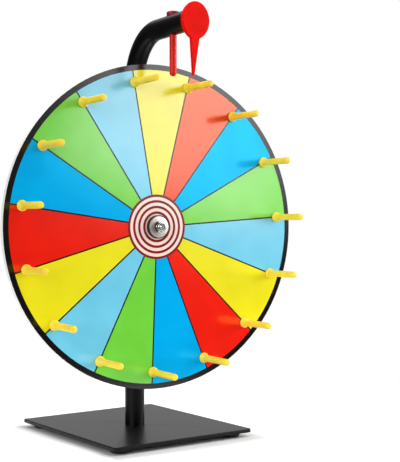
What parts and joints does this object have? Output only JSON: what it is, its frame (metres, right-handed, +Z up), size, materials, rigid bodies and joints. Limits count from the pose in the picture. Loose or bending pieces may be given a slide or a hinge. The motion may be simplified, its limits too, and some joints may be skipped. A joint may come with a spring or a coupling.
{
  "type": "carnival game wheel",
  "caption": "Tabletop carnival game wheel: a round pegged wheel with coloured fields spins on a bent tube stand, past a fixed pointer and a flexing clicker.",
  "frame": {"origin": "on the floor, at the middle of the whole object's width and depth, in the wheel's upright middle plane", "axes": "+Z up, the wheel faces -Y, +X to the right seen from the front"},
  "size_m": [0.3048, 0.2114, 0.4],
  "materials": {
    "base_black": "satin powder coat",
    "rubber_feet": "matte",
    "tube_black": "semi gloss powder coat",
    "bolt_black": "black oxide",
    "zinc": "bright zinc plate",
    "bearing_steel": "ground and polished",
    "cage": "pressed strip",
    "hub_black": "satin",
    "board_white": "smooth foamed sheet",
    "print_yellow": "glossy dry wipe film",
    "print_red": "glossy dry wipe film",
    "print_blue": "glossy dry wipe film",
    "print_green": "glossy dry wipe film",
    "print_sky": "glossy dry wipe film",
    "print_black": "glossy dry wipe film",
    "print_white": "glossy dry wipe film",
    "print_dark_red": "glossy dry wipe film",
    "peg_yellow": "moulded",
    "pointer_red": "moulded",
    "clicker_dark_red": "soft moulded",
    "clicker_red": "soft moulded"
  },
  "bodies": {
    "stand": {"base_plate": "base_black", "front_left_foot": "rubber_feet", "front_right_foot": "rubber_feet", "rear_left_foot": "rubber_feet", "rear_right_foot": "rubber_feet", "post_bolt": "bolt_black", "post_plug": "zinc", "stand_tube": "tube_black", "pointer": "pointer_red", "clicker_cap": "clicker_dark_red", "axle_bolt": "zinc", "saddle_washer": "bolt_black", "rear_spacer": "zinc", "middle_spacer": "zinc", "front_spacer": "hub_black", "front_washer": "zinc", "lock_nut": "zinc", "front_inner_ring": "bearing_steel", "rear_inner_ring": "bearing_steel"},
    "wheel": {"wheel_board": "board_white", "yellow_fields": "print_yellow", "red_fields": "print_red", "blue_fields": "print_blue", "green_fields": "print_green", "sky_fields": "print_sky", "face_border": "print_black", "hub_label": "print_white", "hub_rings": "print_dark_red", "hub_flange": "hub_black", "hub_screws": "zinc", "front_outer_ring": "bearing_steel", "rear_outer_ring": "bearing_steel", "peg_01": "peg_yellow", "peg_02": "peg_yellow", "peg_03": "peg_yellow", "peg_04": "peg_yellow", "peg_05": "peg_yellow", "peg_06": "peg_yellow", "peg_07": "peg_yellow", "peg_08": "peg_yellow", "peg_09": "peg_yellow", "peg_10": "peg_yellow", "peg_11": "peg_yellow", "peg_12": "peg_yellow", "peg_13": "peg_yellow", "peg_14": "peg_yellow", "peg_15": "peg_yellow", "peg_screws": "zinc", "front_balls": "bearing_steel", "rear_balls": "bearing_steel", "front_cage": "cage", "rear_cage": "cage"},
    "clicker": {"clicker_rod": "clicker_red"}
  },
  "joints": [
    {"name": "wheel_spin", "type": "hinge", "parent": "stand", "child": "wheel", "pos_m": [0, -0.03289, 0.2005], "axis": [0, 1, 0], "continuous": true},
    {"name": "clicker_flex", "type": "hinge", "parent": "stand", "child": "clicker", "pos_m": [0, -0.06379, 0.3758], "axis": [0, 1, 0], "range_deg": [-25, 25], "stiffness_Nm_per_rad": 0.024}
  ]
}
